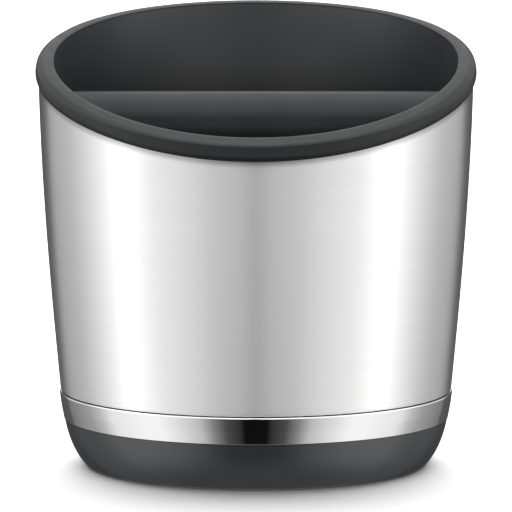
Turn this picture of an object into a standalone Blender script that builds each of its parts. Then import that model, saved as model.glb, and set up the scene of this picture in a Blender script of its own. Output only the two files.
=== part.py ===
"""Espresso knock box: a steel-clad bucket with a sloping rim and a lift-out rubber knock bar.

Frame: origin on the body's axis at the table, +Z up, +X to the right, -Y to the low front of the rim.
Every length is in metres. Profiles are (radius, height) pairs turned about the body's axis.
"""

import math

import bmesh
import bpy

MM = 0.001
GAP = 0.3 * MM  # clearance that touching pieces keep

# Body line: the outer side of the steel sleeve, narrow at the foot and upright at the top.
BODY_BOTTOM_Z = 23.1 * MM
BODY_BOTTOM_RADIUS = 60.4 * MM
BODY_BOTTOM_SLOPE = 0.096
BODY_TOP_Z = 135.0 * MM
BODY_TOP_RADIUS = 66.95 * MM

# Rim line: the lower edge of the rim's skirt, an arc in side view that falls to the front.
RIM_AXIS_Z = 120.55 * MM
RIM_SLOPE = 0.268
RIM_ARCH_RADIUS = 657.0 * MM

# Walls
SLEEVE_WALL = 0.6 * MM
BIN_OUTSET = 2.4 * MM  # from the body line in to the bin's outer side
BIN_WALL = 2.4 * MM
LIP_HEIGHT = 2.6 * MM  # bin and sleeve edges, above the rim line
BLANK_TOP_Z = 145.0 * MM  # bin and sleeve walls are drawn to here, then trimmed

# Bin floor and the rounded foot of its wall
FLOOR_TOP_Z = 14.5 * MM
FOOT_CURVE_Z = 44.0 * MM
FOOT_CURVE_WIDTH = 20.0 * MM
SHOULDER_Z = 25.6 * MM
SHOULDER_HEIGHT = 2.0 * MM
SHOULDER_RADIUS = 58.0 * MM

# Rim ring, offsets from the body line and heights above the rim line
RIM_INNER = -4.8 * MM
RIM_BULGE = 0.75 * MM
RIM_TOP_INNER = 5.1 * MM
RIM_TOP_OUTER = 4.65 * MM
TONGUE_DEPTH = 8.0 * MM

# Base
BAND_BOTTOM_Z = 14.9 * MM
BAND_TOP_Z = 22.9 * MM
BAND_PROUD = 0.4 * MM
BAND_WALL = 1.0 * MM
BOOT_TOP_RADIUS = 59.3 * MM
BOOT_TOP_Z = 14.6 * MM
BOOT_FOOT_RADIUS = 52.7 * MM
BOOT_CURVE_RADIUS = 57.7 * MM  # where the side's upright line and its foot line would meet
BOOT_CURVE_Z = 5.4 * MM
BOOT_WALL = 2.5 * MM
BOOT_FLOOR = 2.6 * MM
FOOT_INNER_RADIUS = 40.0 * MM
CHASSIS_SEAT_RADIUS = 58.4 * MM
CHASSIS_WALL = 2.4 * MM
FLANGE_RADIUS = 56.9 * MM

# Base screws, four on a circle
SCREW_COUNT = 4
SCREW_CIRCLE_RADIUS = 32.0 * MM
SCREW_RADIUS = 1.5 * MM
SCREW_HEAD_RADIUS = 3.0 * MM
SCREW_HEAD_HEIGHT = 1.6 * MM
SCREW_LENGTH = 8.0 * MM
BOSS_RADIUS = 4.0 * MM

# Knock bar, along X
BAR_Z = 104.2 * MM
GRIP_RADIUS = 11.0 * MM
GRIP_HALF_LENGTH = 56.5 * MM
CORE_RADIUS = 5.0 * MM
CORE_HALF_LENGTH = 54.5 * MM
TONGUE_HALF_WIDTH = 6.0 * MM
TONGUE_START = 56.9 * MM
TONGUE_END = 60.4 * MM
BAR_SCREW_RADIUS = 2.0 * MM
BAR_SCREW_HEAD_RADIUS = 3.75 * MM
BAR_SCREW_TIP = 48.0 * MM

# Cradles, the open-topped sockets that the bar's ends drop into
PAD_WALL = 1.5 * MM
CRADLE_WALL = 2.5 * MM
CRADLE_START = 57.3 * MM
CRADLE_END = 62.6 * MM
CRADLE_TOP_Z = 112.0 * MM
PAD_START = 57.6 * MM
PAD_END = 60.6 * MM

# Sides of the turned shapes
SEGMENTS = 48
GRIP_SEGMENTS = 40
SMALL_SEGMENTS = 24

parts = None
cutters = None


def clear_scene():
    for obj in list(bpy.data.objects):
        bpy.data.objects.remove(obj, do_unlink=True)


def new_collection(name):
    collection = bpy.data.collections.new(name)
    bpy.context.scene.collection.children.link(collection)
    return collection


def material(name, colour, roughness, metallic=0.0):
    made = bpy.data.materials.new(name)
    made.use_nodes = True
    shader = made.node_tree.nodes["Principled BSDF"]
    shader.inputs["Base Color"].default_value = (*colour, 1.0)
    shader.inputs["Roughness"].default_value = roughness
    shader.inputs["Metallic"].default_value = metallic
    return made


# ---- lines that the whole body shares ----


def body_radius(z):
    """Outer radius of the body at height z: a cubic between the foot and the upright top."""
    height = BODY_TOP_Z - BODY_BOTTOM_Z
    t = min((z - BODY_BOTTOM_Z) / height, 1.0)
    if t < 0:
        return BODY_BOTTOM_RADIUS + BODY_BOTTOM_SLOPE * (z - BODY_BOTTOM_Z)
    rise = t * t * (3 - 2 * t)
    run = t * (1 - t) ** 2
    grown = (BODY_TOP_RADIUS - BODY_BOTTOM_RADIUS) * rise
    return BODY_BOTTOM_RADIUS + grown + BODY_BOTTOM_SLOPE * height * run


def rim_z(y):
    """Height of the rim line at depth y: high at the back, low at the front, arched between."""
    return RIM_AXIS_Z + RIM_SLOPE * y - y * y / (2 * RIM_ARCH_RADIUS)


def boot_outer(t):
    """Outer side of the rubber boot, from its upright top (t = 0) to the table (t = 1)."""
    points = (
        (BOOT_TOP_RADIUS, BOOT_TOP_Z),
        (BOOT_CURVE_RADIUS, BOOT_CURVE_Z),
        (BOOT_FOOT_RADIUS, 0.0),
    )
    weights = ((1 - t) ** 2, 2 * t * (1 - t), t * t)
    return tuple(sum(w * p[k] for w, p in zip(weights, points)) for k in (0, 1))


def boot_offset(t, inset):
    """The boot's outer curve moved in, square to itself, by inset."""
    step = 1e-4
    r, z = boot_outer(t)
    r_next, z_next = boot_outer(t + step)
    length = math.hypot(r_next - r, z_next - z)
    return r + (z_next - z) / length * inset, z - (r_next - r) / length * inset


def foot_curve(turn, outset):
    """Foot of the bin's wall: a quarter of an ellipse; outset 0 is its inner side."""
    width = FOOT_CURVE_WIDTH + outset
    drop = FOOT_CURVE_Z - FLOOR_TOP_Z + outset
    centre = body_radius(FOOT_CURVE_Z) + RIM_INNER - FOOT_CURVE_WIDTH
    return centre + width * math.cos(turn), FOOT_CURVE_Z - drop * math.sin(turn)


def steps(first, last, count):
    return [first + (last - first) * i / (count - 1) for i in range(count)]


def arc(centre, radius, first, last, count):
    """Points round a centre, as pairs, at angles in degrees from the first axis."""
    turns = [math.radians(a) for a in steps(first, last, count)]
    return [(centre[0] + radius * math.cos(a), centre[1] + radius * math.sin(a)) for a in turns]


# ---- makers ----


def add(name, mesh, finish, parent=None):
    obj = bpy.data.objects.new(name, mesh)
    parts.objects.link(obj)
    if finish:
        mesh.materials.clear()
        mesh.materials.append(finish)
    obj.parent = parent
    return obj


def as_cutter(obj):
    parts.objects.unlink(obj)
    cutters.objects.link(obj)
    obj.hide_render = True
    obj.display_type = "WIRE"


def from_form(name, form):
    """An object that takes its mesh from a bmesh."""
    mesh = bpy.data.meshes.new(name)
    form.to_mesh(mesh)
    form.free()
    return add(name, mesh, None)


def box(name, size):
    form = bmesh.new()
    bmesh.ops.create_cube(form, size=1.0)
    bmesh.ops.scale(form, vec=size, verts=form.verts)
    return from_form(name, form)


def cylinder(name, radius, bottom, top, segments=SMALL_SEGMENTS):
    form = bmesh.new()
    bmesh.ops.create_cone(
        form,
        cap_ends=True,
        segments=segments,
        radius1=radius,
        radius2=radius,
        depth=top - bottom,
    )
    bmesh.ops.translate(form, vec=(0, 0, (top + bottom) / 2), verts=form.verts)
    return from_form(name, form)


def turned(name, profile, finish=None, parent=None, segments=SEGMENTS):
    """A profile turned about Z. It runs down the outer side; off the axis it is a closed loop."""
    mesh = bpy.data.meshes.new(name)
    count = len(profile)
    on_axis = profile[0][0] == 0 and profile[-1][0] == 0
    edges = [(i, i + 1) for i in range(count - 1)]
    if not on_axis:
        edges.append((count - 1, 0))
    mesh.from_pydata([(r, 0, z) for r, z in profile], edges, [])
    obj = add(name, mesh, finish, parent)
    screw = obj.modifiers.new("Turn", "SCREW")
    screw.axis = "Z"
    screw.steps = segments
    screw.render_steps = segments
    screw.use_merge_vertices = True
    screw.merge_threshold = 1e-5
    return obj


def apply_modifiers(obj):
    """Gives the object the mesh that its modifiers make, so that its points can be moved."""
    graph = bpy.context.evaluated_depsgraph_get()
    mesh = bpy.data.meshes.new_from_object(obj.evaluated_get(graph))
    obj.modifiers.clear()
    obj.data = mesh


def extruded(name, outline, x_start, x_end, finish=None):
    """A flat outline in the YZ plane, drawn as a filled curve, with its thickness along X."""
    curve = bpy.data.curves.new(name, "CURVE")
    curve.dimensions = "2D"
    curve.fill_mode = "BOTH"
    curve.extrude = abs(x_end - x_start) / 2
    spline = curve.splines.new("POLY")
    spline.points.add(len(outline) - 1)
    for point, (y, z) in zip(spline.points, outline):
        point.co = (y, z, 0, 1)
    spline.use_cyclic_u = True
    drawn = bpy.data.objects.new(name + "_outline", curve)
    bpy.context.scene.collection.objects.link(drawn)
    graph = bpy.context.evaluated_depsgraph_get()
    mesh = bpy.data.meshes.new_from_object(drawn.evaluated_get(graph))
    bpy.data.objects.remove(drawn)
    form = bmesh.new()
    form.from_mesh(mesh)
    bmesh.ops.remove_doubles(form, verts=form.verts, dist=1e-6)
    bmesh.ops.recalc_face_normals(form, faces=form.faces)
    form.to_mesh(mesh)
    form.free()
    obj = add(name, mesh, finish)
    obj.location.x = (x_start + x_end) / 2
    obj.rotation_euler = (math.pi / 2, 0, math.pi / 2)
    return obj


def boolean(obj, operation, other):
    as_cutter(other)
    modifier = obj.modifiers.new(other.name, "BOOLEAN")
    modifier.operation = operation
    modifier.object = other


def cut(obj, other):
    boolean(obj, "DIFFERENCE", other)


def join(obj, other):
    boolean(obj, "UNION", other)


def smooth(obj, angle=35):
    obj.data.shade_smooth()
    obj.data.set_sharp_from_angle(angle=math.radians(angle))


def trim_above_rim(obj):
    """Cuts the object along the rim line, at the height of the lip."""
    margin = 13 * MM
    reach = BODY_TOP_RADIUS + margin
    top = BLANK_TOP_Z + margin
    edge = [(y, rim_z(y) + LIP_HEIGHT) for y in steps(-reach, reach, 25)]
    outline = [*edge, (reach, top), (-reach, top)]
    cut(obj, extruded(obj.name + "_trim", outline, -reach, reach))


# ---- the fixed body ----


def wall(inset, heights):
    return [(body_radius(z) - inset, z) for z in heights]


def make_sleeve(finish):
    """Brushed steel wrap, rolled to the body line, with a flange turned in at the foot."""
    bottom = BAND_TOP_Z + GAP
    heights = steps(BLANK_TOP_Z, bottom, 9)
    outer = wall(0, heights)
    flange = [(FLANGE_RADIUS, bottom), (FLANGE_RADIUS, bottom + SLEEVE_WALL)]
    inner = wall(SLEEVE_WALL, [bottom + SLEEVE_WALL, *heights[-2::-1]])
    sleeve = turned("outer_sleeve", [*outer, *flange, *inner], finish)
    trim_above_rim(sleeve)


def bin_profile():
    inner_floor = [(0, FLOOR_TOP_Z)]
    inner_foot = [foot_curve(turn, 0) for turn in steps(math.pi / 2, 0, 8)]
    heights = steps(FOOT_CURVE_Z, BLANK_TOP_Z, 7)[1:]
    inner_wall = wall(BIN_OUTSET + BIN_WALL, heights)
    outer_wall = wall(BIN_OUTSET, heights[::-1])
    outer_foot = [foot_curve(turn, BIN_WALL) for turn in steps(0, math.pi / 2, 10)]
    above = [p for p in outer_foot if p[1] > SHOULDER_Z + SHOULDER_HEIGHT + MM]
    below = [p for p in outer_foot if p[1] < SHOULDER_Z - MM]
    shoulder_top = SHOULDER_Z + SHOULDER_HEIGHT
    shoulder = [
        (outer_foot_radius(shoulder_top), shoulder_top),
        (SHOULDER_RADIUS, shoulder_top),
        (SHOULDER_RADIUS, SHOULDER_Z),
        (outer_foot_radius(SHOULDER_Z), SHOULDER_Z),
    ]
    outer_floor = [(0, FLOOR_TOP_Z - BIN_WALL)]
    return [
        *inner_floor,
        *inner_foot,
        *inner_wall,
        *outer_wall,
        *above,
        *shoulder,
        *below,
        *outer_floor,
    ]


def outer_foot_radius(z):
    """Radius of the bin's outer foot curve at height z."""
    drop = FOOT_CURVE_Z - FLOOR_TOP_Z + BIN_WALL
    return foot_curve(math.asin((FOOT_CURVE_Z - z) / drop), BIN_WALL)[0]


def cradle_outline(outer, inner, top):
    """A U open at the top: round below the bar's axis, straight above it."""
    return [
        (outer, top),
        (inner, top),
        *arc((0, BAR_Z), inner, 0, -180, 13),
        (-inner, top),
        (-outer, top),
        *arc((0, BAR_Z), outer, -180, 0, 13),
    ]


def make_bin(finish):
    """Moulded bucket with the two cradles inside and four screw bosses under its floor."""
    bucket = turned("inner_bin", bin_profile(), finish)
    slot_radius = TONGUE_HALF_WIDTH + PAD_WALL + 2 * GAP
    outline = cradle_outline(slot_radius + CRADLE_WALL, slot_radius, CRADLE_TOP_Z)
    for side, sign in (("left", -1), ("right", 1)):
        start, end = sorted((sign * CRADLE_START, sign * CRADLE_END))
        join(bucket, extruded("cradle_" + side, outline, start, end))
    boss_bottom = chassis_floor_top() + GAP
    boss_top = FLOOR_TOP_Z - BIN_WALL / 2
    pilot_top = BOOT_FLOOR + SCREW_LENGTH + MM
    for index, place in enumerate(screw_places(), 1):
        boss = cylinder(f"boss_{index}", BOSS_RADIUS, boss_bottom, boss_top)
        pilot = cylinder(f"pilot_{index}", SCREW_RADIUS + GAP, 0, pilot_top)
        for obj in (boss, pilot):
            obj.location.x, obj.location.y = place
        join(bucket, boss)
        cut(bucket, pilot)
    trim_above_rim(bucket)


def screw_places():
    angles = [math.radians(45 + 360 * i / SCREW_COUNT) for i in range(SCREW_COUNT)]
    return [
        (SCREW_CIRCLE_RADIUS * math.cos(a), SCREW_CIRCLE_RADIUS * math.sin(a))
        for a in angles
    ]


def follow_rim(obj):
    """Lifts a ring drawn at the body's top radius onto the rim line, and keeps it on the body line."""
    apply_modifiers(obj)
    for vertex in obj.data.vertices:
        x, y, height = vertex.co
        turn = math.atan2(y, x)
        offset = math.hypot(x, y) - BODY_TOP_RADIUS
        radius = body_radius(rim_z(y) + height) + offset
        y = radius * math.sin(turn)
        vertex.co = (radius * math.cos(turn), y, rim_z(y) + height)


def make_rim(finish):
    """Soft rim: a cap over both edges, a skirt outside the sleeve and a tongue between the walls."""
    roof = LIP_HEIGHT + GAP
    skirt_inner = GAP
    skirt_draft = 0.1 * MM
    skirt_curve = 1.4 * MM
    skirt_edge = 0.2 * MM
    tongue_outer = -SLEEVE_WALL - GAP
    tongue_inner = -BIN_OUTSET + GAP
    inner_round = 0.5 * MM
    outer_round = 1.2 * MM
    inner_centre = (RIM_INNER + inner_round, RIM_TOP_INNER - inner_round)
    outer_centre = (RIM_BULGE - outer_round, RIM_TOP_OUTER - outer_round)
    section = [
        *arc(inner_centre, inner_round, 180, 90, 3),
        *arc(outer_centre, outer_round, 90, 0, 4),
        (RIM_BULGE - skirt_draft, skirt_curve),
        (skirt_inner + skirt_edge, 0),
        (skirt_inner, 0),
        (skirt_inner, roof),
        (tongue_outer, roof),
        (tongue_outer, -TONGUE_DEPTH),
        (tongue_inner, -TONGUE_DEPTH),
        (tongue_inner, roof),
        (RIM_INNER, roof),
    ]
    ring = turned("rim_ring", [(BODY_TOP_RADIUS + r, z) for r, z in section], finish)
    follow_rim(ring)


def make_gasket(finish):
    """Rubber ring that presses the sleeve's flange down onto the chassis."""
    bottom = BAND_TOP_Z + GAP + SLEEVE_WALL + GAP
    top = SHOULDER_Z - GAP
    outer = body_radius(bottom) - SLEEVE_WALL - GAP
    inner = FLANGE_RADIUS
    bevel = 0.3 * MM
    turned(
        "sleeve_gasket",
        [
            (inner, top - bevel),
            (inner + bevel, top),
            (outer - bevel, top),
            (outer, top - bevel),
            (outer, bottom + bevel),
            (outer - bevel, bottom),
            (inner + bevel, bottom),
            (inner, bottom + bevel),
        ],
        finish,
    )


def make_band(finish):
    """Polished steel hoop, a little proud of the body line, with rounded edges."""
    top_round = 0.45 * MM
    foot_round = 0.8 * MM
    top_outer = body_radius(BAND_TOP_Z) + BAND_PROUD
    foot_outer = body_radius(BAND_BOTTOM_Z) + BAND_PROUD
    turned(
        "trim_band",
        [
            (top_outer - BAND_WALL, BAND_TOP_Z),
            *arc((top_outer - top_round, BAND_TOP_Z - top_round), top_round, 90, 0, 3),
            *arc((foot_outer - foot_round, BAND_BOTTOM_Z + foot_round), foot_round, 0, -90, 4),
            (foot_outer - BAND_WALL, BAND_BOTTOM_Z),
        ],
        finish,
    )


def make_boot(finish):
    """Rubber boot: the rounded foot of the box, open in the middle underneath."""
    inner_end = 0.8  # the inner side follows the outer curve this far down
    inner_corner = 1.5 * MM
    outer = [boot_outer(t) for t in steps(0, 1, 8)]
    inner = [boot_offset(t, BOOT_WALL) for t in steps(inner_end, 0, 6)]
    inner_floor_radius = inner[0][0] - inner_corner
    turned(
        "base_boot",
        [
            (BOOT_TOP_RADIUS - BOOT_WALL, BOOT_TOP_Z),
            *outer,
            (FOOT_INNER_RADIUS, 0),
            (FOOT_INNER_RADIUS, BOOT_FLOOR),
            (inner_floor_radius, BOOT_FLOOR),
            *inner[:-1],
        ],
        finish,
    )


def chassis_floor_top():
    return BOOT_FLOOR + GAP + CHASSIS_WALL


def make_chassis(finish):
    """Moulded tray inside the boot: seats the band, the sleeve and the bin's bosses."""
    floor_bottom = BOOT_FLOOR + GAP
    top = BAND_TOP_Z
    seat_bottom = BOOT_TOP_Z + GAP
    curve_start, outer_end, inner_end = 0.15, 0.75, 0.7  # stretch of the boot's curve it follows
    outer_corner = 1.5 * MM
    inner_corner = 1.0 * MM
    inset = BOOT_WALL + GAP
    outer = [boot_offset(t, inset) for t in steps(curve_start, outer_end, 5)]
    inner = [boot_offset(t, inset + CHASSIS_WALL) for t in steps(inner_end, curve_start, 5)]
    wall_inner = CHASSIS_SEAT_RADIUS - CHASSIS_WALL
    floor_outer_radius = outer[-1][0] - outer_corner
    floor_inner_radius = inner[0][0] - inner_corner
    inner = [(r, z) for r, z in inner if z > chassis_floor_top()]
    tray = turned(
        "base_chassis",
        [
            (0, chassis_floor_top()),
            (floor_inner_radius, chassis_floor_top()),
            *inner,
            (inner[-1][0], seat_bottom + CHASSIS_WALL),
            (wall_inner, seat_bottom + CHASSIS_WALL),
            (wall_inner, top),
            (CHASSIS_SEAT_RADIUS, top),
            (CHASSIS_SEAT_RADIUS, seat_bottom),
            (outer[0][0], seat_bottom),
            *outer,
            (floor_outer_radius, floor_bottom),
            (0, floor_bottom),
        ],
        finish,
    )
    for index, place in enumerate(screw_places(), 1):
        hole = cylinder(f"hole_{index}", SCREW_RADIUS + GAP, 0, chassis_floor_top() + MM)
        hole.location.x, hole.location.y = place
        cut(tray, hole)


def make_base_screws(finish):
    """Pan-head screws, driven up through the chassis into the bin's bosses."""
    head_top = BOOT_FLOOR
    head_bottom = head_top - SCREW_HEAD_HEIGHT
    tip = head_top + SCREW_LENGTH
    tip_radius = 0.6 * MM
    chamfer = 0.5 * MM
    profile = [
        (0, tip),
        (tip_radius, tip),
        (SCREW_RADIUS, tip - 2 * chamfer),
        (SCREW_RADIUS, head_top),
        (SCREW_HEAD_RADIUS, head_top),
        (SCREW_HEAD_RADIUS, head_bottom + chamfer),
        (SCREW_HEAD_RADIUS - chamfer, head_bottom),
        (0, head_bottom),
    ]
    for index, place in enumerate(screw_places(), 1):
        screw = turned(f"base_screw_{index}", profile, finish, segments=SMALL_SEGMENTS)
        screw.location.x, screw.location.y = place
        cut_cross_recess(screw, (*place, head_bottom))


def cut_cross_recess(screw, place):
    """Cross recess for the driver, sunk into the head."""
    depth = 1.0 * MM
    width = 0.7 * MM
    length = 3.0 * MM
    for name, size_x, size_y in (("a", length, width), ("b", width, length)):
        slot = box(f"{screw.name}_recess_{name}", (size_x, size_y, 2 * depth))
        slot.location = place
        cut(screw, slot)


def make_pads(finish):
    """Rubber liners in the cradles, between the moulding and the bar's ends."""
    inner = TONGUE_HALF_WIDTH + GAP
    outline = cradle_outline(inner + PAD_WALL, inner, CRADLE_TOP_Z - MM)
    extruded("cradle_pad_left", outline, -PAD_END, -PAD_START, finish)
    extruded("cradle_pad_right", outline, PAD_START, PAD_END, finish)


# ---- the bar that lifts out ----


def along_bar(obj, sign):
    """Turns a piece drawn about Z so that it lies along the bar, pointing to +X or -X."""
    obj.rotation_euler = (0, sign * math.pi / 2, 0)
    return obj


def make_bar(core_finish, grip_finish, end_finish, screw_finish):
    carrier = bpy.data.objects.new("knock_bar", None)
    parts.objects.link(carrier)
    carrier.location = (0, 0, BAR_Z)
    make_core(core_finish, carrier)
    make_grip(grip_finish, carrier)
    for side, sign in (("left", -1), ("right", 1)):
        make_bar_end("bar_end_" + side, sign, end_finish, carrier)
        make_bar_screw("bar_screw_" + side, sign, screw_finish, carrier)


def make_core(finish, parent):
    """Steel rod with a tapped hole in each end."""
    chamfer = 0.6 * MM
    half = [
        (CORE_RADIUS - chamfer, CORE_HALF_LENGTH),
        (CORE_RADIUS, CORE_HALF_LENGTH - chamfer),
    ]
    hole_radius = BAR_SCREW_RADIUS + GAP
    hole_end = BAR_SCREW_TIP - MM
    top = [(0, hole_end), (hole_radius, hole_end), (hole_radius, CORE_HALF_LENGTH), *half]
    profile = [*top, *[(r, -z) for r, z in reversed(top)]]
    along_bar(turned("bar_core", profile, finish, parent, SMALL_SEGMENTS), 1)


def make_grip(finish, parent):
    """Thick rubber tube over the rod, with rounded ends."""
    bore = CORE_RADIUS + GAP
    rounding = 1.6 * MM
    centre = (GRIP_RADIUS - rounding, GRIP_HALF_LENGTH - rounding)
    top = [(bore, GRIP_HALF_LENGTH), *arc(centre, rounding, 90, 0, 4)]
    profile = [*top, *[(r, -z) for r, z in reversed(top)]]
    along_bar(turned("bar_grip", profile, finish, parent, GRIP_SEGMENTS), 1)


def make_bar_end(name, sign, finish, parent):
    """Moulded end: a flat-sided tongue for the cradle and a short spigot inside the grip."""
    half = TONGUE_HALF_WIDTH
    round_foot = arc((0, BAR_Z), half, 0, -180, 13)
    outline = [(half, BAR_Z + half), *round_foot, (-half, BAR_Z + half)]
    start, end = sorted((sign * TONGUE_START, sign * TONGUE_END))
    tongue = extruded(name, outline, start, end, finish)
    spigot_start = CORE_HALF_LENGTH + GAP
    spigot_end = TONGUE_START + MM
    spigot = cylinder(name + "_spigot", CORE_RADIUS, spigot_start, spigot_end)
    hole = turned(name + "_hole", countersink(GAP, spigot_start - MM), segments=SMALL_SEGMENTS)
    for obj in (spigot, hole):
        along_bar(obj, sign).location.z = BAR_Z
    join(tongue, spigot)
    cut(tongue, hole)
    tongue.parent = parent
    tongue.matrix_parent_inverse.translation.z = -BAR_Z


def countersink(clearance, tip):
    """Profile of a countersunk screw, head outwards; with a clearance, of the hole it sits in."""
    sunk = 0.2 * MM  # the head's face lies this deep
    land = 0.4 * MM  # straight edge of the head above its cone
    face = TONGUE_END + MM if clearance else TONGUE_END - sunk
    shank = BAR_SCREW_RADIUS + clearance
    rim = BAR_SCREW_HEAD_RADIUS + clearance
    cone_top = TONGUE_END - sunk - land - clearance * (math.sqrt(2) - 1)
    cone_bottom = cone_top - (rim - shank)
    return [(0, face), (rim, face), (rim, cone_top), (shank, cone_bottom), (shank, tip), (0, tip)]


def make_bar_screw(name, sign, finish, parent):
    """Countersunk screw that holds the end on the rod."""
    profile = countersink(0, BAR_SCREW_TIP)
    screw = turned(name, profile, finish, parent, SMALL_SEGMENTS)
    along_bar(screw, sign)
    cut_hex_recess(screw, sign)


def cut_hex_recess(screw, sign):
    """Hexagon socket in the screw's face."""
    radius = 1.4 * MM
    depth = 1.2 * MM
    socket = cylinder(screw.name + "_socket", radius, -depth, depth, segments=6)
    along_bar(socket, sign)
    socket.location = (sign * TONGUE_END, 0, BAR_Z)
    cut(screw, socket)


def main():
    global parts, cutters
    clear_scene()
    parts = new_collection("espresso_knock_box")
    cutters = new_collection("cutters")
    brushed = material("brushed_steel", (0.62, 0.62, 0.63), 0.32, 1.0)
    polished = material("polished_steel", (0.75, 0.75, 0.76), 0.08, 1.0)
    bin_plastic = material("bin_plastic", (0.045, 0.046, 0.048), 0.5)
    soft_rim = material("soft_rim", (0.06, 0.063, 0.066), 0.55)
    rubber = material("boot_rubber", (0.055, 0.058, 0.06), 0.6)
    grip_rubber = material("grip_rubber", (0.06, 0.063, 0.066), 0.5)
    pad_rubber = material("pad_rubber", (0.02, 0.02, 0.02), 0.7)
    chassis_plastic = material("chassis_plastic", (0.03, 0.03, 0.032), 0.6)
    nylon = material("end_nylon", (0.04, 0.04, 0.042), 0.45)
    zinc = material("screw_steel", (0.6, 0.6, 0.6), 0.3, 1.0)
    make_sleeve(brushed)
    make_bin(bin_plastic)
    make_rim(soft_rim)
    make_gasket(pad_rubber)
    make_band(polished)
    make_boot(rubber)
    make_chassis(chassis_plastic)
    make_base_screws(zinc)
    make_pads(pad_rubber)
    make_bar(zinc, grip_rubber, nylon, zinc)
    for obj in parts.objects:
        if obj.type == "MESH":
            smooth(obj)


main()
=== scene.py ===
"""Looks of the espresso knock box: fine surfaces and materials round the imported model, on a pale floor."""

import math

import bmesh
import bpy
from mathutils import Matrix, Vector


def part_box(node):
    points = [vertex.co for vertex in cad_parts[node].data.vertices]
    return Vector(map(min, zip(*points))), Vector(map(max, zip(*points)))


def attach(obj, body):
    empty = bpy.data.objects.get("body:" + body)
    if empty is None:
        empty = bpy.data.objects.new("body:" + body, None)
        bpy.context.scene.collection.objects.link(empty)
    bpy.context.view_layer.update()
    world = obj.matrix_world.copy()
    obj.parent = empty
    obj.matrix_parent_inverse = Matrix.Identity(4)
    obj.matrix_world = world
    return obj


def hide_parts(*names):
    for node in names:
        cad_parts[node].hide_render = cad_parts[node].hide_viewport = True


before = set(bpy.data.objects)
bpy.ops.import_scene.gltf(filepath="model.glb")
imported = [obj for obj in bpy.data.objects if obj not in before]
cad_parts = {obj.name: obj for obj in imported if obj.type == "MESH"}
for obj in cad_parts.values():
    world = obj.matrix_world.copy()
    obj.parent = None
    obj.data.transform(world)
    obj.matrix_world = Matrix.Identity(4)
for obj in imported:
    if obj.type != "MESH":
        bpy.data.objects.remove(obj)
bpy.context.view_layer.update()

MM = 0.001
SEGMENTS = 288  # round the body
GRIP_SEGMENTS = 128
HAIRLINE = 0.12 * MM  # gap that shows as a fine line where two pieces meet

# The body line: the outer side of the steel sleeve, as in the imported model.
BODY_BOTTOM_Z = 23.1 * MM
BODY_BOTTOM_RADIUS = 60.4 * MM
BODY_BOTTOM_SLOPE = 0.096
BODY_TOP_Z = 135.0 * MM
BODY_TOP_RADIUS = 66.95 * MM

# The rim line: the lower edge of the rim's skirt, an arc in side view that falls to the front.
RIM_AXIS_Z = 120.55 * MM
RIM_SLOPE = 0.268
RIM_ARCH_RADIUS = 657.0 * MM

# Across the wall. An outset is measured from the body line, and a height from the rim line.
SLEEVE_WALL = 0.6 * MM
SLEEVE_DROP = 0.1 * MM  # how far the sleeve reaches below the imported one, to close on the band
SLEEVE_TURN = 0.9 * MM  # radius of its turned-in lower edge
SLEEVE_FLANGE = 3.5 * MM
LIP_HEIGHT = 2.6 * MM  # top edge of the steel, inside the rim
BIN_OUTSET = 2.4 * MM
BIN_WALL = 2.4 * MM
BIN_TOP = 4.62 * MM  # its seam with the rim is just under the rim's inner edge
RIM_INNER = -4.8 * MM
RIM_FOOT = -0.64 * MM
TONGUE_DEPTH = 8.0 * MM  # the rim's tongue, down between the steel and the bin

FLOOR_TOP_Z = 14.5 * MM
FOOT_CURVE_Z = 44.0 * MM
FOOT_CURVE_WIDTH = 20.0 * MM

CRADLE_START = 57.3 * MM
CRADLE_END = 62.6 * MM
CRADLE_OUTER = 10.6 * MM
CRADLE_SLOT = 8.1 * MM
CRADLE_TOP_Z = 112.0 * MM
CRADLE_SOFTNESS = 0.5 * MM
BAR_Z = 104.2 * MM
GRIP_BORE = 5.3 * MM

BAND_PROUD = 0.42 * MM
BAND_FOOT_RADIUS = 59.5 * MM
BAND_CROWN = 0.78 * MM  # how far its middle stands out from its foot
BAND_WALL = 1.0 * MM

BOOT_TOP_RADIUS = 59.3 * MM
BOOT_FOOT_RADIUS = 52.7 * MM
BOOT_SIDE_DRAW = 1.6 * MM  # the side's curve is drawn towards a point this far in and down
BOOT_SIDE_DEPTH = 9.2 * MM
BOOT_FLOOR = 2.6 * MM
GROOVE_DEPTH = 0.5 * MM
GROOVE_RADII = (49.0 * MM, 46.6 * MM, 44.2 * MM, 41.8 * MM)


def eased(t):
    """From 0 to 1, level at both ends."""
    return t * t * (3 - 2 * t)


def body_radius(z):
    height = BODY_TOP_Z - BODY_BOTTOM_Z
    t = min((z - BODY_BOTTOM_Z) / height, 1.0)
    if t < 0:
        return BODY_BOTTOM_RADIUS + BODY_BOTTOM_SLOPE * (z - BODY_BOTTOM_Z)
    grown = (BODY_TOP_RADIUS - BODY_BOTTOM_RADIUS) * eased(t)
    run = t * (1 - t) ** 2
    return BODY_BOTTOM_RADIUS + grown + BODY_BOTTOM_SLOPE * height * run


def rim_z(y):
    return RIM_AXIS_Z + RIM_SLOPE * y - y * y / (2 * RIM_ARCH_RADIUS)


def bottom_of(node):
    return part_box(node)[0].z


def top_of(node):
    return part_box(node)[1].z


def steps(first, last, count):
    return [first + (last - first) * i / (count - 1) for i in range(count)]


def circle(segments):
    return [2 * math.pi * i / segments for i in range(segments)]


def on_rim(angle, outset, height):
    """(radius, z) of a point set out from the body line and up from the rim line, at this angle."""
    radius = BODY_TOP_RADIUS + outset
    for _ in range(4):
        z = rim_z(radius * math.sin(angle)) + height
        radius = body_radius(z) + outset
    return radius, rim_z(radius * math.sin(angle)) + height


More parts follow.
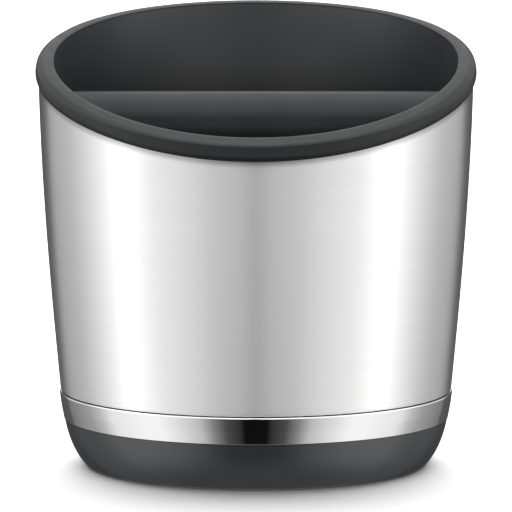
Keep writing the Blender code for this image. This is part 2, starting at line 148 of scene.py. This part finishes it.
def curve(first, pull, last, t):
    """Point on the curve from first (t = 0) to last (t = 1) that is drawn towards pull."""
    weights = ((1 - t) ** 2, 2 * t * (1 - t), t * t)
    return tuple(sum(w * p[k] for w, p in zip(weights, (first, pull, last))) for k in (0, 1))


def rounded(corners, arc_steps):
    """A closed section with its corners rounded; each corner is (x, y, radius) in millimetres."""
    points = []
    count = len(corners)
    for i, (x, y, radius) in enumerate(corners):
        here = Vector((x, y))
        to_last = Vector(corners[i - 1][:2]) - here
        to_next = Vector(corners[(i + 1) % count][:2]) - here
        if radius == 0:
            points.append((x, y))
            continue
        half = to_last.angle(to_next) / 2
        reach = min(radius / math.tan(half), to_last.length * 0.49, to_next.length * 0.49)
        start = here + to_last.normalized() * reach
        end = here + to_next.normalized() * reach
        points += [curve(start, here, end, t) for t in steps(0, 1, arc_steps)]
    return [(x * MM, y * MM) for x, y in points]


def finished(name, form, finish, body, sharp=40):
    """A mesh object from a bmesh, shaded smooth, with its material and body."""
    bmesh.ops.recalc_face_normals(form, faces=form.faces)
    mesh = bpy.data.meshes.new(name)
    form.to_mesh(mesh)
    form.free()
    mesh.materials.append(finish)
    mesh.shade_smooth()
    mesh.set_sharp_from_angle(angle=math.radians(sharp))
    obj = bpy.data.objects.new(name, mesh)
    bpy.context.scene.collection.objects.link(obj)
    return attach(obj, body)


def loft(section_at, angles, poles=False):
    """A turned form whose section may change with the angle; with poles, its ends are on the axis."""
    form = bmesh.new()
    sections = [section_at(angle) for angle in angles]
    ends = []
    if poles:
        ends = [form.verts.new((0, 0, sections[0][k][1])) for k in (0, -1)]
        sections = [section[1:-1] for section in sections]
    rings = [
        [form.verts.new((r * math.cos(a), r * math.sin(a), z)) for r, z in section]
        for a, section in zip(angles, sections)
    ]
    for here, there in zip(rings, rings[1:] + rings[:1]):
        for i in range(len(here) - 1):
            form.faces.new((here[i], here[i + 1], there[i + 1], there[i]))
        if poles:
            form.faces.new((ends[0], here[0], there[0]))
            form.faces.new((here[-1], ends[1], there[-1]))
        else:
            form.faces.new((here[-1], here[0], there[0], there[-1]))
    return form


def turned(section):
    """A form with the same section all round."""
    return loft(lambda angle: section, circle(SEGMENTS))


# ---- node trees ----


def grey(value):
    return (value, value, value)


class Nodes:
    """Short ways to add nodes to a tree. A value is a number, a colour or another node's output."""

    def __init__(self, tree):
        self.tree = tree

    def node(self, kind, **settings):
        made = self.tree.nodes.new(kind)
        for key, value in settings.items():
            setattr(made, key, value)
        return made

    def feed(self, socket, value):
        if isinstance(value, bpy.types.NodeSocket):
            self.tree.links.new(value, socket)
        elif socket.type == "RGBA":
            socket.default_value = (*value, 1.0)
        else:
            socket.default_value = value

    def put(self, node, **values):
        """Feeds the inputs of these names, with _ for each space."""
        for name, value in values.items():
            self.feed(node.inputs[name.replace("_", " ")], value)

    def maths(self, operation, *values):
        made = self.node("ShaderNodeMath", operation=operation)
        for value, socket in zip(values, made.inputs):
            self.feed(socket, value)
        return made.outputs[0]

    def ranged(self, source, low, high, from_low=0.3, from_high=0.7, **settings):
        """The source between from_low and from_high, which is noise's middle range, as low to high."""
        spread = self.node("ShaderNodeMapRange", **settings)
        self.put(spread, Value=source, From_Min=from_low, From_Max=from_high, To_Min=low, To_Max=high)
        return spread.outputs["Result"]

    def blend(self, factor, first, second):
        """From the first colour, where the factor is 0, to the second, where it is 1."""
        mix = self.node("ShaderNodeMix", data_type="RGBA")
        self.put(mix, Factor=factor)
        colours = [socket for socket in mix.inputs if socket.type == "RGBA"]
        for value, socket in zip((first, second), colours):
            self.feed(socket, value)
        return [socket for socket in mix.outputs if socket.type == "RGBA"][0]

    def split(self, vector):
        """The X, Y and Z outputs of a vector."""
        made = self.node("ShaderNodeSeparateXYZ")
        self.put(made, Vector=vector)
        return made.outputs


# ---- materials ----


class Shader(Nodes):
    """A Principled material."""

    def __init__(self, name, colour, roughness, metallic=0.0, **inputs):
        self.material = bpy.data.materials.new(name)
        self.material.use_nodes = True
        super().__init__(self.material.node_tree)
        self.principled = self.tree.nodes["Principled BSDF"]
        self.put(self.principled, Base_Color=colour, Roughness=roughness, Metallic=metallic, **inputs)
        self.place = self.node("ShaderNodeTexCoord").outputs["Object"]

    def noise(self, scale, detail):
        """Noise over the object; scale is features per metre along X, Y and Z."""
        mapping = self.node("ShaderNodeMapping")
        self.put(mapping, Vector=self.place, Scale=scale)
        made = self.node("ShaderNodeTexNoise")
        self.put(made, Vector=mapping.outputs["Vector"], Scale=1.0, Detail=detail)
        return made.outputs["Fac"]

    def even_noise(self, scale, detail):
        return self.noise((scale, scale, scale), detail)

    def bump(self, source, depth, strength):
        """Adds relief of this depth in metres."""
        made = self.node("ShaderNodeBump")
        self.put(made, Height=source, Distance=depth, Strength=strength)
        self.put(self.principled, Normal=made.outputs["Normal"])


def depth_under_rim(shader):
    """How far a point on the body is below the rim's lower edge."""
    _, y, z = shader.split(shader.place)
    slope = shader.maths("MULTIPLY", y, RIM_SLOPE)
    arch = shader.maths("MULTIPLY", shader.maths("MULTIPLY", y, y), 0.5 / RIM_ARCH_RADIUS)
    line = shader.maths("SUBTRACT", shader.maths("ADD", slope, RIM_AXIS_Z + RIM_FOOT), arch)
    return shader.maths("SUBTRACT", line, z)


def brushed_steel():
    """Stainless steel brushed round the body: fine level lines, highlights drawn out upright, and a painted
    shadow just under the rim.
    """
    steel = Shader("brushed_steel", grey(0.92), 0.42, 1.0, Anisotropic=1.0, Anisotropic_Rotation=0.25)
    tangent = steel.node("ShaderNodeTangent", direction_type="RADIAL", axis="Z")
    fine = steel.noise((14, 14, 7000), 4)
    broad = steel.noise((5, 5, 420), 3)
    metal = steel.blend(steel.ranged(fine, 0, 1), (0.90, 0.90, 0.895), grey(0.94))
    # Painted shadow: the steel's colour is darkened to grey 0.6 right under the rim's lower edge, fading out
    # by 1.5 mm below it.
    painted_shadow_fade = steel.ranged(depth_under_rim(steel), 0, 1, 0.2 * MM, 1.5 * MM)
    steel.put(
        steel.principled,
        Tangent=tangent.outputs["Tangent"],
        Base_Color=steel.blend(painted_shadow_fade, grey(0.6), metal),
        Roughness=steel.ranged(broad, 0.41, 0.43),
    )
    steel.bump(fine, 0.002 * MM, 0.3)
    return steel.material


def polished_steel():
    """Mirror-polished band, with a few faint hairlines."""
    steel = Shader("polished_steel", (0.86, 0.86, 0.865), 0.06, 1.0)
    hairlines = steel.noise((14, 14, 3000), 2)
    steel.put(steel.principled, Roughness=steel.ranged(hairlines, 0.04, 0.09))
    steel.bump(steel.even_noise(60, 2), 0.01 * MM, 0.3)
    return steel.material


def screw_steel():
    steel = Shader("screw_steel", (0.62, 0.62, 0.6), 0.3, 1.0)
    steel.put(steel.principled, Roughness=steel.ranged(steel.even_noise(900, 3), 0.22, 0.38))
    return steel.material


def moulded(name, colour, roughness, specular=0.5, texture=0.008, mottle=0.04, painted_shade_colour=None):
    """Moulded plastic or rubber with a fine spark-eroded grain, texture millimetres in depth, and a slightly
    uneven sheen. Given a darker colour for it, a painted shade takes its colour over to that one well below
    the rim."""
    made = Shader(name, colour, roughness, Specular_IOR_Level=specular)
    darker = tuple(c * 0.86 for c in colour)
    lighter = tuple(c * 1.12 for c in colour)
    shade = made.blend(made.ranged(made.even_noise(55, 4), 0, 1), darker, lighter)
    if painted_shade_colour:
        # Painted shade: the colour darkens from 4 mm above the rim's lower edge to 20 mm below it.
        shade = made.blend(made.ranged(depth_under_rim(made), 0, 1, -4 * MM, 20 * MM), shade, painted_shade_colour)
    sheen = made.ranged(made.even_noise(260, 3), roughness - mottle, roughness + mottle)
    made.put(made.principled, Base_Color=shade, Roughness=sheen)
    made.bump(made.even_noise(4500, 2), texture * MM, 0.2)
    return made.material


def soft_rim():
    return moulded("soft_rim", (0.0129, 0.0138, 0.0147), 0.43, 0.25)


def bin_plastic():
    """Satin plastic, with a painted shade that makes it dimmer towards the bin's floor."""
    colour = (0.0255, 0.0298, 0.0341)
    return moulded("bin_plastic", colour, 0.4, 0.55, texture=0.0015, mottle=0.01, painted_shade_colour=(0.009, 0.0095, 0.01))


def boot_rubber():
    return moulded("boot_rubber", (0.0298, 0.0345, 0.0392), 0.23, 0.9, texture=0.004, mottle=0.015)


def grip_rubber():
    return moulded("grip_rubber", (0.0236, 0.0262, 0.0288), 0.34, 0.13)


def pad_rubber():
    return moulded("pad_rubber", grey(0.012), 0.6)


def end_nylon():
    return moulded("end_nylon", (0.02, 0.02, 0.021), 0.42)


def chassis_plastic():
    return moulded("chassis_plastic", (0.02, 0.02, 0.021), 0.5)


# ---- pieces ----


def sleeve_section(angle):
    """Thin wall: up the outer side, over the top edge, down the inner side, and in along the flange."""
    bottom = bottom_of("outer_sleeve") - SLEEVE_DROP
    top = on_rim(angle, 0, LIP_HEIGHT)[1]
    turn_z = bottom + SLEEVE_TURN
    turn_radius = body_radius(turn_z) - SLEEVE_TURN
    turns = steps(-math.pi / 2, 0, 6)
    outer = [(turn_radius + SLEEVE_TURN * math.cos(t), turn_z + SLEEVE_TURN * math.sin(t)) for t in turns]
    heights = steps(turn_z, top, 40)
    outer += [(body_radius(z), z) for z in heights[1:]]
    inner = [(body_radius(z) - SLEEVE_WALL, z) for z in heights[::-8]]
    flange_top = bottom + SLEEVE_WALL
    flange_end = body_radius(bottom) - SLEEVE_FLANGE
    return [
        *outer,
        *inner,
        (body_radius(bottom) - 2 * SLEEVE_WALL, flange_top),
        (flange_end, flange_top),
        (flange_end, bottom),
    ]


def make_sleeve(finish):
    form = loft(sleeve_section, circle(SEGMENTS))
    sleeve = finished("sleeve_skin", form, finish, "housing")
    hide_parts("outer_sleeve")


def rim_section(angle):
    """The rim's moulding: a crisp crease round its top at the front, a softer one at the sides, and
    a slightly fuller top at the back. Its corners are (outset, height, rounding) in millimetres."""
    front = max(-math.sin(angle), 0.0) ** 2
    back_lift = 0.3 * eased(min(max(math.sin(angle), 0.0) / 0.6, 1.0))
    crease = -1.3 + front
    crease_height = 4.72 - 0.08 * (crease + 0.3) + back_lift
    shoulder = (0.6 - 0.38 * front, 3.6 + 0.75 * front + back_lift)
    foot = RIM_FOOT / MM + 0.12 * front + 0.8 * front * (1 - front)
    inner = RIM_INNER / MM
    inner_foot = BIN_TOP / MM + 0.08
    channel_top = LIP_HEIGHT / MM + 0.15
    tongue_outer = -(SLEEVE_WALL + HAIRLINE) / MM
    tongue_inner = -(BIN_OUTSET - HAIRLINE) / MM
    tongue_foot = -TONGUE_DEPTH / MM
    outline = rounded(
        [
            (inner, inner_foot, 0),
            (inner, 4.94, 0.35),
            (-3.75, 5.03 + 0.3 * back_lift, 3.0),
            (crease, crease_height, 2.4 - 1.8 * front),
            (*shoulder, 1.6 - 0.9 * front),
            (0.98, 1.2, 2.0),
            (0.15, foot, 0.2),
            (0.12, channel_top, 0.15),
            (tongue_outer, channel_top, 0.15),
            (tongue_outer, tongue_foot, 0.3),
            (tongue_inner, tongue_foot, 0.3),
            (tongue_inner, inner_foot, 0),
        ],
        7,
    )
    return [on_rim(angle, outset, height) for outset, height in outline]


def make_rim(finish):
    form = loft(rim_section, circle(SEGMENTS))
    rim = finished("rim_moulding", form, finish, "housing")
    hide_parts("rim_ring")


def foot_curve(turn, outset):
    """Foot of the bin's wall: a quarter of an ellipse; outset 0 is its inner side."""
    width = FOOT_CURVE_WIDTH + outset
    drop = FOOT_CURVE_Z - FLOOR_TOP_Z + outset
    centre = body_radius(FOOT_CURVE_Z) + RIM_INNER - FOOT_CURVE_WIDTH
    return centre + width * math.cos(turn), FOOT_CURVE_Z - drop * math.sin(turn)


def bin_section(angle):
    """From the middle of the floor, where a low ring shows the moulding's gate, up the inner side
    and down the outer one."""
    gate = [(0, 0), (3.0, 0), (3.2, 0.25), (4.0, 0.25), (4.3, 0)]
    floor = [(r * MM, FLOOR_TOP_Z + rise * MM) for r, rise in gate]
    inner_top = on_rim(angle, RIM_INNER, BIN_TOP)[1]
    inner = [foot_curve(turn, 0) for turn in steps(math.pi / 2, 0, 26)]
    inner += [(body_radius(z) + RIM_INNER, z) for z in steps(FOOT_CURVE_Z, inner_top, 24)[1:]]
    outer_top = on_rim(angle, -BIN_OUTSET, BIN_TOP)[1]
    outer = [(body_radius(z) - BIN_OUTSET, z) for z in steps(outer_top, FOOT_CURVE_Z, 5)[:-1]]
    outer += [foot_curve(turn, BIN_WALL) for turn in steps(0, math.pi / 2, 12)]
    return [*floor, *inner, *outer, (0, FLOOR_TOP_Z - BIN_WALL)]


def make_bin(finish):
    form = loft(bin_section, circle(SEGMENTS), poles=True)
    made = finished("bin_moulding", form, finish, "housing")
    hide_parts("inner_bin")
    make_cradle("cradle_left", -1, finish)
    make_cradle("cradle_right", 1, finish)


def cradle_outline(margin):
    """Closed U in side view, as (y, z): outer side and slot, drawn in by the margin."""
    outer, slot, top = CRADLE_OUTER - margin, CRADLE_SLOT + margin, CRADLE_TOP_Z - margin
    turns = [math.pi * t for t in steps(0, -1, 33)]
    slot_side = [(slot * math.cos(t), BAR_Z + slot * math.sin(t)) for t in turns]
    outer_side = [(outer * math.cos(t), BAR_Z + outer * math.sin(t)) for t in turns[::-1]]
    return [(slot, top), *slot_side, (-slot, top), (-outer, top), *outer_side, (outer, top)]


def make_cradle(name, sign, finish):
    """Socket for the bar's end: a U standing out from the wall, its inner edge softened."""
    soft = CRADLE_SOFTNESS
    layers = [
        (CRADLE_END, 0),
        (CRADLE_START + soft, 0),
        (CRADLE_START + soft * 0.3, soft * 0.3),
        (CRADLE_START, soft),
    ]
    form = bmesh.new()
    rings = [
        [form.verts.new((sign * x, y, z)) for y, z in cradle_outline(margin)]
        for x, margin in layers
    ]
    for here, there in zip(rings, rings[1:]):
        for i in range(len(here)):
            k = (i + 1) % len(here)
            form.faces.new((here[i], here[k], there[k], there[i]))
    for ring in (rings[0], rings[-1]):
        for i in range(len(ring) // 2 - 1):
            form.faces.new((ring[i], ring[i + 1], ring[-i - 2], ring[-i - 1]))
    finished(name, form, finish, "housing", sharp=50)


def make_band(finish):
    """The polished hoop: it tapers to the boot, which it meets in a hairline."""
    low = (top_of("base_boot") + HAIRLINE) / MM
    high = top_of("trim_band") / MM
    top_radius = (body_radius(top_of("trim_band")) + BAND_PROUD) / MM
    foot_radius = BAND_FOOT_RADIUS / MM
    section = rounded(
        [
            (top_radius - BAND_WALL / MM, high, 0.2),
            (top_radius, high, 0.45),
            (foot_radius + BAND_CROWN / MM, (high + low) / 2, 6.0),
            (foot_radius, low, 0.2),
            (foot_radius - 0.6, low, 0.1),
        ],
        8,
    )
    band = finished("band_polished", turned(section), finish, "housing")
    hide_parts("trim_band")


def boot_section():
    """Down the outer side, round the foot's edge, in across the grooves, and up the inner side."""
    top = top_of("base_boot")
    side_pull = (BOOT_TOP_RADIUS - BOOT_SIDE_DRAW, top - BOOT_SIDE_DEPTH)
    side_foot = (BOOT_FOOT_RADIUS, 0.0)
    outer = [curve((BOOT_TOP_RADIUS, top), side_pull, side_foot, t) for t in steps(0, 0.93, 26)]
    edge = outer[-1]
    edge_pull = (edge[0] - 0.7 * MM, 0)
    edge_foot = (edge[0] - 1.7 * MM, 0)
    lip = [curve(edge, edge_pull, edge_foot, t) for t in steps(0.15, 1, 7)]
    groove = [(0.6, 0), (0.45, GROOVE_DEPTH), (-0.45, GROOVE_DEPTH), (-0.6, 0)]
    grooves = [(radius + across * MM, z) for radius in GROOVE_RADII for across, z in groove]
    inside = [
        (40 * MM, 0),
        (40 * MM, BOOT_FLOOR),
        (48 * MM, BOOT_FLOOR),
        (54.5 * MM, 9 * MM),
        (56.6 * MM, top),
    ]
    return [*outer, *lip, *grooves, *inside]


def make_boot(finish):
    boot = finished("boot_moulding", turned(boot_section()), finish, "housing")
    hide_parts("base_boot")


def make_grip(finish):
    """The bar's rubber tube, drawn about Z and laid along X."""
    low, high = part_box("bar_grip")
    radius = (high.z - low.z) / 2 / MM
    half = high.x / MM
    bore = GRIP_BORE / MM
    corners = [(bore, half, 0.3), (radius, half, 0.6), (radius, -half, 0.6), (bore, -half, 0.3)]
    section = rounded(corners, 9)
    form = loft(lambda angle: section, circle(GRIP_SEGMENTS))
    for vertex in form.verts:
        x, y, z = vertex.co
        vertex.co = (z, y, (low.z + high.z) / 2 - x)
    grip = finished("grip_moulding", form, finish, "knock_bar")
    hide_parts("bar_grip")


def paint_packed_pieces():
    """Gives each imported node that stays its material; its mesh stays as it is."""
    pad, nylon, tray, screw = pad_rubber(), end_nylon(), chassis_plastic(), screw_steel()
    finishes = {
        "screw": screw,
        "bar_core": screw,
        "bar_end": nylon,
        "pad": pad,
        "sleeve_gasket": pad,
        "base_chassis": tray,
    }
    for node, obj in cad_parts.items():
        for part_of_name, finish in finishes.items():
            if part_of_name in node:
                obj.data.materials.clear()
                obj.data.materials.append(finish)


# ---- studio ----

# Brightness of the studio round the box, as (degrees from the front, brightness); both sides alike.
# The low ring is what the upright mirror of the band picks up, and the tall ring what the brushed
# steel draws its highlights from. The high ring lights the rim's crease and the bar's front.
LOW_RING = [
    (0, 0.005),
    (7, 0.005),
    (9, 0.03),
    (18, 0.075),
    (26, 0.26),
    (34, 0.58),
    (60, 1.05),
    (72, 1.05),
    (95, 0.9),
    (106, 0.55),
    (116, 0.38),
    (129, 0.29),
    (143, 0.2),
    (147, 0.1),
    (170, 0.08),
    (175, 0.4),
    (180, 0.4),
]
TALL_RING = [
    (0, 0.45),
    (5, 1.45),
    (11, 1.8),
    (30, 1.85),
    (42, 2.1),
    (56, 1.65),
    (68, 2.3),
    (78, 2.92),
    (88, 1.3),
    (98, 0.82),
    (106, 0.85),
    (116, 0.72),
    (129, 0.8),
    (143, 0.68),
    (147, 0.12),
    (171, 0.05),
    (176, 1.2),
    (180, 1.2),
]
HIGH_RING = [
    (0, 0.22),
    (45, 0.3),
    (64, 0.9),
    (80, 2.0),
    (108, 2.0),
    (130, 1.0),
    (150, 0.8),
    (165, 1.1),
    (180, 1.3),
]
UNDERNEATH = 0.3
OVERHEAD = 2.7

# Where each light goes over to the next, as sines of elevation.
UNDERNEATH_TO_LOW = (-0.9, -0.55)
LOW_TO_TALL = (-0.12, 0.0)
TALL_TO_HIGH = (0.18, 0.34)
HIGH_TO_OVERHEAD = (0.72, 0.86)
OVERHEAD_LEAN = 0.12  # sine of how far the overhead light leans to the front

FLOOR_HALF_WIDTH = 8.0
FLOOR_GREY = 0.25
FLOOR_LIGHT_ENERGY = 17
FLOOR_LIGHT_SPREAD = 90  # degrees
FLOOR_LIGHT_TILT = -40  # degrees

CAMERA_PLACE = (0, -1.2456, 0.2058)
CAMERA_AIM = (0, 0, 0.0642)
CAMERA_LENS = 285.5
CAMERA_SENSOR = 36


class World(Nodes):
    """The studio's surroundings."""

    def __init__(self, name):
        world = bpy.data.worlds.new(name)
        bpy.context.scene.world = world
        world.use_nodes = True
        super().__init__(world.node_tree)
        self.tree.nodes.clear()

    def ring(self, turn, stops):
        """A brightness that follows the turn, from 0 at the front to 1 at the back."""
        ramp = self.node("ShaderNodeValToRGB")
        self.put(ramp, Fac=turn)
        elements = ramp.color_ramp.elements
        while len(elements) < len(stops):
            elements.new(1.0)
        for element, (degrees, value) in zip(elements, stops):
            element.position = degrees / 180
            element.color = (*grey(value), 1.0)
        return ramp.outputs["Color"]

    def change(self, height, limits, below, above):
        """One light below the limits, another above them, and a soft change between them."""
        share = self.ranged(height, 0, 1, *limits, interpolation_type="SMOOTHSTEP")
        return self.blend(share, below, above)


def make_world():
    world = World("studio")
    place = world.node("ShaderNodeTexCoord")
    x, y, z = world.split(place.outputs["Generated"])
    angle = world.maths("ARCTAN2", world.maths("ABSOLUTE", x), world.maths("MULTIPLY", y, -1.0))
    turn = world.maths("DIVIDE", angle, math.pi)
    low = world.change(z, UNDERNEATH_TO_LOW, grey(UNDERNEATH), world.ring(turn, LOW_RING))
    tall = world.change(z, LOW_TO_TALL, low, world.ring(turn, TALL_RING))
    around = world.change(z, TALL_TO_HIGH, tall, world.ring(turn, HIGH_RING))
    forward = world.maths("MULTIPLY", y, -OVERHEAD_LEAN)
    upward = world.maths("MULTIPLY", z, math.sqrt(1 - OVERHEAD_LEAN**2))
    towards_overhead = world.maths("ADD", forward, upward)
    colour = world.change(towards_overhead, HIGH_TO_OVERHEAD, around, grey(OVERHEAD))
    background = world.node("ShaderNodeBackground")
    world.put(background, Color=colour)
    output = world.node("ShaderNodeOutputWorld")
    world.put(output, Surface=background.outputs[0])


def make_floor():
    """A pale sheet that lights nothing, so that the studio alone makes the box's reflections."""
    form = bmesh.new()
    bmesh.ops.create_grid(form, x_segments=4, y_segments=4, size=FLOOR_HALF_WIDTH)
    mesh = bpy.data.meshes.new("floor")
    form.to_mesh(mesh)
    form.free()
    floor = bpy.data.objects.new("floor", mesh)
    bpy.context.scene.collection.objects.link(floor)
    mesh.materials.append(Shader("floor_paper", grey(FLOOR_GREY), 0.9).material)
    floor.visible_glossy = False
    floor.visible_diffuse = False
    make_floor_light(floor)


def make_floor_light(floor):
    """A broad light from above and behind that whitens the floor and lays the soft shadow in front."""
    data = bpy.data.lights.new("floor_light", "SUN")
    data.energy = FLOOR_LIGHT_ENERGY
    data.angle = math.radians(FLOOR_LIGHT_SPREAD)
    light = bpy.data.objects.new("floor_light", data)
    bpy.context.scene.collection.objects.link(light)
    light.rotation_euler = (math.radians(FLOOR_LIGHT_TILT), 0, 0)
    lit = bpy.data.collections.new("floor_only")
    lit.objects.link(floor)
    light.light_linking.receiver_collection = lit


def make_camera():
    data = bpy.data.cameras.new("camera")
    data.lens = CAMERA_LENS
    data.sensor_width = CAMERA_SENSOR
    camera = bpy.data.objects.new("camera", data)
    bpy.context.scene.collection.objects.link(camera)
    camera.location = CAMERA_PLACE
    aim = Vector(CAMERA_AIM) - camera.location
    camera.rotation_euler = aim.to_track_quat("-Z", "Y").to_euler()
    bpy.context.scene.camera = camera


def main():
    make_camera()
    make_world()
    make_floor()
    bpy.context.scene.view_settings.view_transform = "Standard"
    make_sleeve(brushed_steel())
    make_rim(soft_rim())
    make_bin(bin_plastic())
    make_band(polished_steel())
    make_boot(boot_rubber())
    make_grip(grip_rubber())
    paint_packed_pieces()


main()
